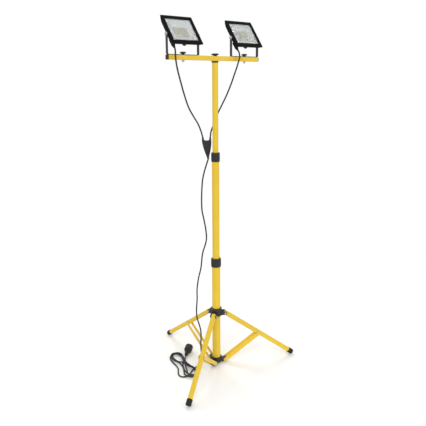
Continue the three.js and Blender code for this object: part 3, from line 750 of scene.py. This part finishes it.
# ---- crossbar ----
def star_knob(radius, z0, bolt_r, bolt_end):
    """Six-lobed knob with a flared stem and a slightly dished crown, and its bolt below."""

    def lobes(angle, r, z):
        if r < radius * 0.62:
            return r
        wave = 0.5 - 0.5 * math.cos(6 * angle)
        return r - (r / radius) ** 2 * radius * 0.24 * wave ** 1.4

    body = [
        (0, z0), (radius * 0.52, z0), (radius * 0.54, z0 + 0.6), (radius * 0.44, z0 + 1.8),
        (radius * 0.44, z0 + 2.4), (radius * 0.64, z0 + 2.7), (radius * 0.92, z0 + 3.0),
        (radius * 0.98, z0 + 3.8), (radius, z0 + 4.8), (radius, z0 + 6.6),
        (radius * 0.97, z0 + 7.8), (radius * 0.88, z0 + 8.6), (radius * 0.66, z0 + 9.2),
        (radius * 0.52, z0 + 9.9), (radius * 0.40, z0 + 10.3), (radius * 0.30, z0 + 10.0),
        (0, z0 + 9.9),
    ]
    thread = [(0, bolt_end), (bolt_r - 0.7, bolt_end), (bolt_r - 0.1, bolt_end + 0.7)]
    z = bolt_end + 1.0
    while z < z0 - 1:
        thread += [(bolt_r, z), (bolt_r, z + 0.25)]
        thread += [(bolt_r - 0.45, z + 0.6), (bolt_r - 0.45, z + 0.75)]
        z += 1.25
    thread += [(bolt_r, z0), (0, z0 + 0.2)]
    return lathe(body, 96, lobes), lathe(thread, 24)


def nut(r, z0, z1):
    """A hexagon nut with chamfered corners, its bore hidden by the bolt."""

    def flats(angle, radius, z):
        if radius < r * 0.93:
            return radius
        a = (angle + math.pi / 6) % (math.pi / 3) - math.pi / 6
        return min(radius, r * 0.866 / math.cos(a))

    c = (z1 - z0) * 0.18
    profile = [(0, z0), (r * 0.84, z0), (r * 0.95, z0 + c * 0.5), (r, z0 + c)]
    profile += [(r, z1 - c), (r * 0.95, z1 - c * 0.5), (r * 0.84, z1), (0, z1)]
    return lathe(profile, 72, flats)


def washer(r, z0, z1):
    return lathe(rounded([(0, z0), (r, z0), (r, z1), (0, z1)], 0.3), 36)


def make_crossbar():
    half = BAR_SIZE / 2
    outer = rectangle(BAR_SIZE, BAR_SIZE, 2.4, (0, BAR_Z))
    inner = rectangle(BAR_SIZE - 3, BAR_SIZE - 3, 1.2, (0, BAR_Z))
    n = len(outer)
    stations = [-BAR_HALF + 2 * BAR_HALF * i / 10 for i in range(11)]
    verts, faces = [], []
    for outline in (outer, inner):
        for x in stations:
            verts += [(x, u, v) for u, v in outline]
    inside = len(stations) * n
    for s in range(len(stations) - 1):
        for i in range(n):
            j = (i + 1) % n
            a, b = s * n, (s + 1) * n
            faces.append((a + i, a + j, b + j, b + i))
            faces.append((inside + a + j, inside + a + i, inside + b + i, inside + b + j))
    last = (len(stations) - 1) * n
    for i in range(n):
        j = (i + 1) % n
        faces.append((j, i, inside + i, inside + j))
        faces.append((last + i, last + j, inside + last + j, inside + last + i))
    faces = [tuple(reversed(f)) for f in faces]
    piece("crossbar_skin", (verts, faces), "head", YELLOW, ["crossbar"], sharp=50)

    outer = [(11.4, 7.6), (11.5, -9.4), (10.6, -11.0), (9.0, -11.4)]
    inner = [(9.6, 7.9), (9.6, -9.5)]
    ring = [(-y, z) for y, z in outer] + outer[::-1] + inner + [(-y, z) for y, z in inner[::-1]]
    saddle = prism([(y, BAR_Z + z) for y, z in ring], -13, 13, "X")
    piece("crossbar_saddle", saddle, "head", YELLOW, bevel=0.4)

    for side, sign in (("left", -1), ("right", 1)):
        rim = rectangle(BAR_SIZE - 0.2, BAR_SIZE - 0.2, 2.4, (0, BAR_Z))
        lip = prism(rim, BAR_HALF + 0.3, BAR_HALF + 3.9, "X")
        dish = prism(rectangle(15.4, 15.4, 1.0, (0, BAR_Z)), BAR_HALF - 13, BAR_HALF + 0.5, "X")
        cap = merge(lip, dish)
        at = turn(180, "Z") if sign < 0 else None
        look = BLACK_PLASTIC if sign < 0 else GREY_PLASTIC
        name = f"crossbar_cap_{side}"
        piece(f"{name}_skin", cap, "head", look, [name], at=at, bevel=0.8)

    top = BAR_Z + half + 0.3
    head, bolt = star_knob(16, top, 4, UPPER["top"] - 24)
    piece("mast_knob_skin", head, "head_knob", BLACK_PLASTIC, ["mast_knob"], sharp=50)
    piece("mast_knob_bolt", bolt, "head_knob", STEEL)


def make_brackets():
    plate_z = BAR_Z + BAR_SIZE / 2 + 0.3
    for side, sign in (("left", -1), ("right", 1)):
        x = sign * LAMP_X
        place = shift(x, 0, 0)
        body, strap = f"bracket_{side}_body", bracket_shape(plate_z)
        piece(f"bracket_{side}_skin", strap, body, BRACKET_GREY, [f"bracket_{side}"], place, 0.35)

        knob_body, name = f"knob_{side}", f"bracket_knob_{side}"
        head, bolt = star_knob(13, plate_z + BRACKET_THICK + 0.3, 3, BAR_Z - BAR_SIZE / 2 - 9)
        piece(f"{name}_skin", head, knob_body, BLACK_PLASTIC, [name], place, sharp=50)
        piece(f"{name}_bolt", bolt, knob_body, STEEL, at=place)
        low = BAR_Z - BAR_SIZE / 2
        nut_and_washer = merge(washer(6.2, low - 1.4, low - 0.1), nut(5.4, low - 5.6, low - 1.4))
        piece(f"bracket_nut_{side}", nut_and_washer, "head", STEEL, at=place)

        for letter, at in (("a", Matrix.Identity(4)), ("b", turn(180, "Z"))):
            outside, inside = BRACKET_HALF + 0.3, BRACKET_HALF - 12
            hexagon = nut(6.0, outside + 1.0, outside + 4.6)
            shank = lathe([(0, inside), (2.9, inside), (2.9, outside + 1), (0, outside + 1)], 20)
            bolt = moved(merge(washer(7.0, outside, outside + 1.0), hexagon, shank), ALONG_X)
            name = f"lamp_{side}_bolt_{letter}"
            piece(f"{name}_skin", bolt, body, STEEL, [name], at=shift(x, 0, TILT_Z) @ at)


def bracket_shape(plate_z):
    """A bent strip: base on the bar, two bends and two arms with round ends."""
    half, thick, radius = BRACKET_HALF, BRACKET_THICK, 4.0
    arm_x, bend_z = half - thick / 2, plate_z + thick / 2 + radius
    centre_line = []
    for sx in (-1, 1):
        side = [(sx * arm_x, TILT_Z), (sx * arm_x, bend_z)]
        for i in range(1, 6):
            a = math.pi / 2 * i / 5
            x = arm_x - radius + radius * math.cos(a)
            side.append((sx * x, bend_z - radius * math.sin(a)))
        centre_line.append(side)
    line = centre_line[0] + list(reversed(centre_line[1]))
    outline_out, outline_in = [], []
    for i, (x, z) in enumerate(line):
        a, b = Vector(line[max(i - 1, 0)]), Vector(line[min(i + 1, len(line) - 1)])
        d = (b - a).normalized()
        n = Vector((d.y, -d.x))
        outline_out.append((x + n.x * thick / 2, z + n.y * thick / 2))
        outline_in.append((x - n.x * thick / 2, z - n.y * thick / 2))
    ring = outline_out + list(reversed(outline_in))
    width = BRACKET_WIDTH / 2
    if sum(a[0] * b[1] - b[0] * a[1] for a, b in zip(ring, ring[1:] + ring[:1])) < 0:
        ring.reverse()
    strap = prism(ring, -width, width, "Y")
    ends = []
    for x0 in (-half, half - thick):
        angles = [2 * math.pi * i / 32 for i in range(32)]
        disc = [(8 * math.cos(a), TILT_Z + 8 * math.sin(a)) for a in angles]
        ends.append(prism(disc, x0, x0 + thick, "X"))
    return merge(strap, *ends)


# ---- lamps ----
def loft(levels, cap_last=False):
    """A skin through outlines with equal point counts, each (points, y). Uncapped, it joins up."""
    n = len(levels[0][0])
    verts = [(u, y, v) for ring, y in levels for u, v in ring]
    faces = []
    last = len(levels) - 1
    for s in range(last if cap_last else last + 1):
        a, b = s * n, ((s + 1) % len(levels)) * n
        faces += [(a + i, a + (i + 1) % n, b + (i + 1) % n, b + i) for i in range(n)]
    if cap_last:
        faces.append(tuple(last * n + i for i in range(n)))
    return verts, faces


def make_lamp(side, sign):
    body = f"lamp_{side}"
    at = shift(sign * LAMP_X, 0, TILT_Z) @ Matrix.Rotation(-LAMP_TILT, 4, "X")

    def add(name, shape, look, replaces=(), bevel=0.0, at_local=None, sharp=32):
        place = at @ at_local if at_local else at
        piece(f"{body}_{name}", shape, body, look, replaces, place, bevel, sharp=sharp)

    # bezel: sides that slope in behind a flat border, and a step down to the glass
    front, back = -10.0, -4.0
    border = [
        (143.0, 130.0, 3.0, back, 16.6), (147.4, 134.2, 3.0, front + 4.4, 16.5),
        (148.0, 134.7, 3.0, front + 3.6, 16.45), (148.0, 134.7, 3.0, front + 0.9, 16.45),
        (147.2, 133.7, 2.8, front + 0.2, 16.35), (145.4, 132.4, 2.6, front, 16.6),
        (122.4, 105.4, 3.6, front, 17.8), (120.6, 103.6, 3.2, front + 0.4, 17.8),
        (118.6, 101.6, 3.0, front + 1.7, 17.8), (122.8, 105.8, 3.0, front + 1.7, 17.8),
        (122.8, 105.8, 3.0, back, 17.8),
    ]
    levels = [(rectangle(w, h, r, (0, m), 6), y) for w, h, r, y, m in border]
    add("bezel_skin", loft(levels), CAST_BLACK, [f"lamp_{side}_bezel"], sharp=30)

    glass = prism(rectangle(122.2, 105.2, 3.0, (0, 17.8), 6), 5.4, 8.1, "Y")
    add("glass_skin", glass, GLASS, [f"lamp_{side}_glass"], 0.3)

    make_reflector(add, side)
    make_housing(add, side)
    make_outlets(add, side)

    # countersunk corner screws of the bezel
    for i, (sx, sz) in enumerate(((-1, -1), (1, -1), (1, 1), (-1, 1)), 1):
        dome = [(0, -0.6), (2.4, -0.6), (2.4, 0.05), (2.0, 0.35), (1.0, 0.5), (0.8, 0.1), (0, 0.1)]
        place = shift(sx * 67.0, front, 16.6 + sz * 60.5) @ turn(90, "X")
        add(f"screw_{i}", lathe(dome, 24), CAST_BLACK, at_local=place)


def make_reflector(add, side):
    """A dish whose four walls slope in to a flat floor that holds the LED board."""
    dish = [
        (121.0, 104.0, 4, -4.9, 17.8), (118.6, 101.6, 4, -4.7, 17.8), (73.0, 55.0, 4, 4.0, 13.8),
        (71.0, 53.0, 4, 4.4, 13.8),
    ]
    levels = [(rectangle(w, h, r, (0, m), 5), y) for w, h, r, y, m in dish]
    shape = loft(levels, cap_last=True)
    add("reflector_skin", shape, REFLECTOR, [f"lamp_{side}_reflector"], sharp=20)
    plate = prism(rectangle(66, 48, 2.5, (0, 13.2), 4), -4.3, -3.6, "Y")
    add("board_plate", plate, BOARD, bevel=0.2)
    board = prism(rectangle(52, 37, 1.2, (0, 12.4), 4), -3.6, -2.6, "Y")
    add("led_board", board, BOARD, bevel=0.2)
    chips = []
    for row in range(5):
        for column in range(8):
            x, z = (column - 3.5) * 5.8, (row - 2) * 6.3 + 12.4
            chips.append(prism(rectangle(3.0, 3.0, 0.4, (x, z), 2), -2.6, -1.9, "Y"))
    add("led_chips", merge(*chips), PHOSPHOR, sharp=40)


def make_housing(add, side):
    """The die-cast back: sides that slope in behind, fins, a shallow chamber and round bosses."""
    front, wall = -3.7, 13.0
    shell = [
        (122.0, 108.0, 4, 0.0, 16.6), (130.0, 116.0, 4, front, 16.6),
        (141.6, 127.6, 3, front, 16.6), (143.0, 129.0, 3, front + 0.7, 16.6),
        (142.8, 127.6, 3, front + 2.6, 17.0), (141.6, 111.0, 4, front + 8.6, 11.2),
        (140.4, 103.0, 5, front + 9.9, 9.0), (100.0, 85.0, 6, wall - 0.8, 15.6),
        (96.0, 82.0, 6, wall - 0.1, 16.2), (94.0, 80.0, 6, wall, 16.4),
    ]
    levels = [(rectangle(w, h, r, (0, m), 6), y) for w, h, r, y, m in shell]
    name = f"lamp_{side}_housing"
    add("housing_skin", loft(levels, cap_last=True), CAST_BLACK, [name], sharp=30)

    fins = []
    fin = [(wall - 1, -1), (wall + 3.6, 0), (wall + 4.8, 2)]
    fin += [(wall + 4.8, 48), (wall + 3.4, 53), (wall - 1, 55)]
    for k in range(9):
        x = -36 + 9 * k
        fins.append(prism(fin, x - 1, x + 1, "X"))
    add("fins", merge(*fins), CAST_BLACK, bevel=0.4)

    chamber = prism(rectangle(91.6, 16.8, 3, (0, -12.6), 5), -wall - 3.8, -wall + 1, "Y")
    add("wiring_chamber", chamber, CAST_BLACK, bevel=0.9)
    for i, x in enumerate((-40, 20, 40), 1):
        dome = [(0, -0.4), (2.3, -0.4), (2.3, -0.05), (1.9, 0.1), (0.9, 0.15), (0, -0.1)]
        place = shift(x, wall + 3.8, -12.6) @ turn(-90, "X")
        add(f"cover_screw_{i}", lathe(dome, 20), STEEL, at_local=place)
    for i, outlet in enumerate((GLAND, VENT), 1):
        x, y, r = outlet["x"], outlet["y"], outlet["boss"]
        angles = [math.pi * k / 16 for k in range(17)]
        arch = [(x + r * math.cos(a), y + r * math.sin(a)) for a in angles]
        outline = [(x + r, 8.5), *arch, (x - r, 8.5)]
        add(f"outlet_boss_{i}", prism(outline, OUTLET_Z, -8.2), CAST_BLACK, bevel=0.8)
    for i, sx in enumerate((-1, 1), 1):
        boss = lathe(rounded([(0, 55), (9.5, 55), (8, 68), (7.6, 73.8), (0, 73.8)], 0.7), 40)
        keep = (turn(180, "Z") if sx < 0 else Matrix.Identity(4)) @ ALONG_X
        cut_front = clip_below(moved(boss, keep), front)
        add(f"boss_{i}", cut_front, CAST_BLACK)


def clip_below(shape, y):
    """Flattens whatever lies in front of y onto that plane."""
    verts, faces = shape
    return [(v[0], max(v[1], y), v[2]) for v in verts], faces


def make_outlets(add, side):
    """The lead's gland with its ribbed sleeve, and the low breather cap beside it."""
    place = shift(GLAND["x"], GLAND["y"], OUTLET_Z)
    sleeve = [(0, -22.0), (LEAD_R + 0.8, -22.0), (LEAD_R + 1.1, -21.2)]
    z = -20.8
    while z < -9.5:
        r = LEAD_R + 1.2 + (z + 22) * 0.28
        sleeve += [(r - 0.6, z), (r - 0.6, z + 0.6), (r, z + 0.9), (r + 0.3, z + 1.9)]
        z += 2.2
    sleeve += [(7.6, -8.4), (7.6, -7.4), (0, -7.4)]
    gland = merge(nut(8.0, -7.6, -0.3), lathe(sleeve, 40))
    add("gland_skin", gland, BLACK_PLASTIC, [f"lamp_{side}_gland"], at_local=place, sharp=40)
    vent = [(0, -7.4), (3.6, -7.3), (5.4, -6.8), (6.9, -5.4), (8.4, -3.0), (8.8, -0.3), (0, -0.3)]
    place = shift(VENT["x"], VENT["y"], OUTLET_Z)
    vent = lathe(vent, 40)
    add("vent_skin", vent, BLACK_PLASTIC, [f"lamp_{side}_vent"], at_local=place)


# ---- splitter and plug ----
def make_splitter():
    """A flat moulded Y with ribbed strain reliefs at its two arms and its tail."""
    top, bottom, lean = 1062.0, 978.0, 6.0

    def leaning(x, z):
        return x + lean * max(0.0, (top - z) / (top - bottom)), z

    half = [
        (6.4, bottom + 13), (9.2, bottom + 21), (12.4, bottom + 32), (15.4, bottom + 44),
        (18.0, bottom + 56), (20.3, bottom + 70), (20.7, top - 2), (20.2, top + 2), (11.8, top + 2),
        (10.2, top - 1.5), (8.4, top - 3.8),
    ]
    outline = [leaning(x, z) for x, z in half] + [leaning(-x, z) for x, z in reversed(half)]
    at = shift(-13, 45.5, 0) @ turn(-38.8, "Z")
    body = prism([(x, -z) for x, z in outline][::-1], -7.2, 7.2, "Y")
    body = moved(body, turn(180, "X"))
    piece("splitter_body", body, "head", BLACK_PLASTIC, ["lead_splitter"], at, bevel=2.4, steps=4)
    for name, x in (("left", -16.0), ("right", 16.0)):
        relief, place = ribbed_sleeve(4.4, 3.9, 10.8), at @ shift(x, 0, top)
        piece(f"splitter_relief_{name}", relief, "head", BLACK_PLASTIC, at=place, sharp=50)
    angle = Matrix.Rotation(-math.atan(lean / (top - bottom)), 4, "Y")
    place = at @ shift(leaning(0, bottom + 21)[0], 0, bottom + 21) @ angle @ turn(180, "X")
    relief = ribbed_sleeve(6.8, 4.0, 20.9)
    piece("splitter_relief_tail", relief, "head", BLACK_PLASTIC, at=place, sharp=50)


def ribbed_sleeve(big, small, length):
    """A tapered sleeve along Z with bending grooves, from big at z 0 to small at the end."""
    profile = [(0, 0), (big, 0)]
    z = 1.6
    while z < length - 2.0:
        r = big + (small - big) * (z / length) ** 1.8
        profile += [(r, z), (r, z + 1.2), (r - 0.7, z + 1.5), (r - 0.7, z + 2.1)]
        z += 2.6
    profile += [(small, length - 0.6), (small - 0.4, length), (0, length)]
    return lathe(profile, 40)


def make_plug():
    """A round moulded plug lying on its side, pins away from the bundle."""
    at = shift(*PLUG_TAIL) @ turn(PLUG_YAW, "Z") @ turn(-PLUG_PITCH, "Y") @ ALONG_X

    def grip(angle, r, z):
        if 36 < z < 58 and r > 17:
            return r - 1.1 * (0.5 + 0.5 * math.cos(16 * angle)) ** 3
        if 28 < z <= 36:
            return r * (1 - 0.05 * (0.5 + 0.5 * math.cos(2 * angle)))
        return r

    profile = [(0, 25.5), (9.8, 25.5), (10.2, 28.0), (10.6, 30.0), (13.2, 31.4), (16.4, 33.3)]
    profile += [(18.6, 35.8), (19.3, 38), (19.4, 44), (19.4, 50), (19.4, 56), (19.0, 57)]
    profile += [(18.2, 57.6), (18.2, 59.0), (19.3, 59.6), (19.4, 62.4), (18.8, 63.8)]
    profile += [(17.6, 64), (16.4, 63.6), (0, 63.6)]
    handle = lathe(profile, 128, grip)
    piece("plug_grip", handle, "stand", BLACK_PLASTIC, ["plug_body"], at=at, sharp=50)
    relief = ribbed_sleeve(10.2, 5.8, 26)
    place = at @ shift(0, 0, 26) @ turn(180, "X")
    piece("plug_relief", relief, "stand", BLACK_PLASTIC, at=place, sharp=50)
    for letter, y in (("a", -9.5), ("b", 9.5)):
        pin = [(0, 60), (2.4, 60), (2.4, 80.6), (2.1, 81.8), (1.3, 82.8), (0, 83)]
        name = f"plug_pin_{letter}"
        piece(f"{name}_skin", lathe(pin, 24), "stand", STEEL, [name], at=at @ shift(0, y, 0))


# ---- stage ----
def make_stage():
    """A white floor that fades into a white backdrop, and three soft lights."""
    far = 40.0
    corners = [(-far, -far, 0), (far, -far, 0), (far, far, 0), (-far, far, 0)]
    floor_mesh = bpy.data.meshes.new("floor")
    floor_mesh.from_pydata(corners, [], [(0, 1, 2, 3)])
    floor = bpy.data.objects.new("floor", floor_mesh)
    n = Nodes("floor_paper")
    colour = n.ramp(n.noise(3.0, 3.0), [(0.3, (0.97, 0.97, 0.97)), (0.7, (0.985, 0.985, 0.985))])
    length = n.tree.nodes.new("ShaderNodeVectorMath")
    length.operation = "LENGTH"
    n.link(n.coords.outputs["Object"], length.inputs[0])
    fade = n.span(length.outputs["Value"], 1.0, 0.0, 0.9, 2.4)
    look = n.set(Base_Color=colour, Roughness=0.85, Specular_IOR_Level=0.1, Alpha=fade)
    n.set(Emission_Color=(1.0, 1.0, 1.0, 1.0), Emission_Strength=0.07)
    floor_mesh.materials.append(look)
    bpy.context.scene.collection.objects.link(floor)

    world = bpy.data.worlds.new("studio")
    world.use_nodes = True
    tree = world.node_tree
    rays = tree.nodes.new("ShaderNodeLightPath")
    level = tree.nodes.new("ShaderNodeMapRange")
    level.inputs["To Min"].default_value = 0.60
    level.inputs["To Max"].default_value = 1.0
    tree.links.new(rays.outputs["Is Camera Ray"], level.inputs["Value"])
    tree.nodes["Background"].inputs["Color"].default_value = (1, 1, 1, 1)
    tree.links.new(level.outputs["Result"], tree.nodes["Background"].inputs["Strength"])
    bpy.context.scene.world = world

    middle = (0, 0, 0.8)
    lights = (
        ("key", (-2.6, -2.4, 3.4), 2.2, 64),
        ("fill", (1.8, -3.2, 1.8), 2.4, 22),
        ("back", (1.5, 3.0, 3.6), 2.4, 68),
    )
    for name, place, width, power in lights:
        data = bpy.data.lights.new(name, "AREA")
        data.size = width
        data.energy = power
        light = bpy.data.objects.new(name, data)
        aim = (Vector(middle) - Vector(place)).to_track_quat("-Z", "Y")
        light.matrix_world = Matrix.Translation(Vector(place)) @ aim.to_matrix().to_4x4()
        bpy.context.scene.collection.objects.link(light)

    bpy.context.scene.view_settings.view_transform = "Standard"


make_plug()
make_leads()
make_mast()
make_tripod()
make_crossbar()
make_brackets()
for lamp_side, lamp_sign in (("left", -1), ("right", 1)):
    make_lamp(lamp_side, lamp_sign)
make_splitter()
make_stage()
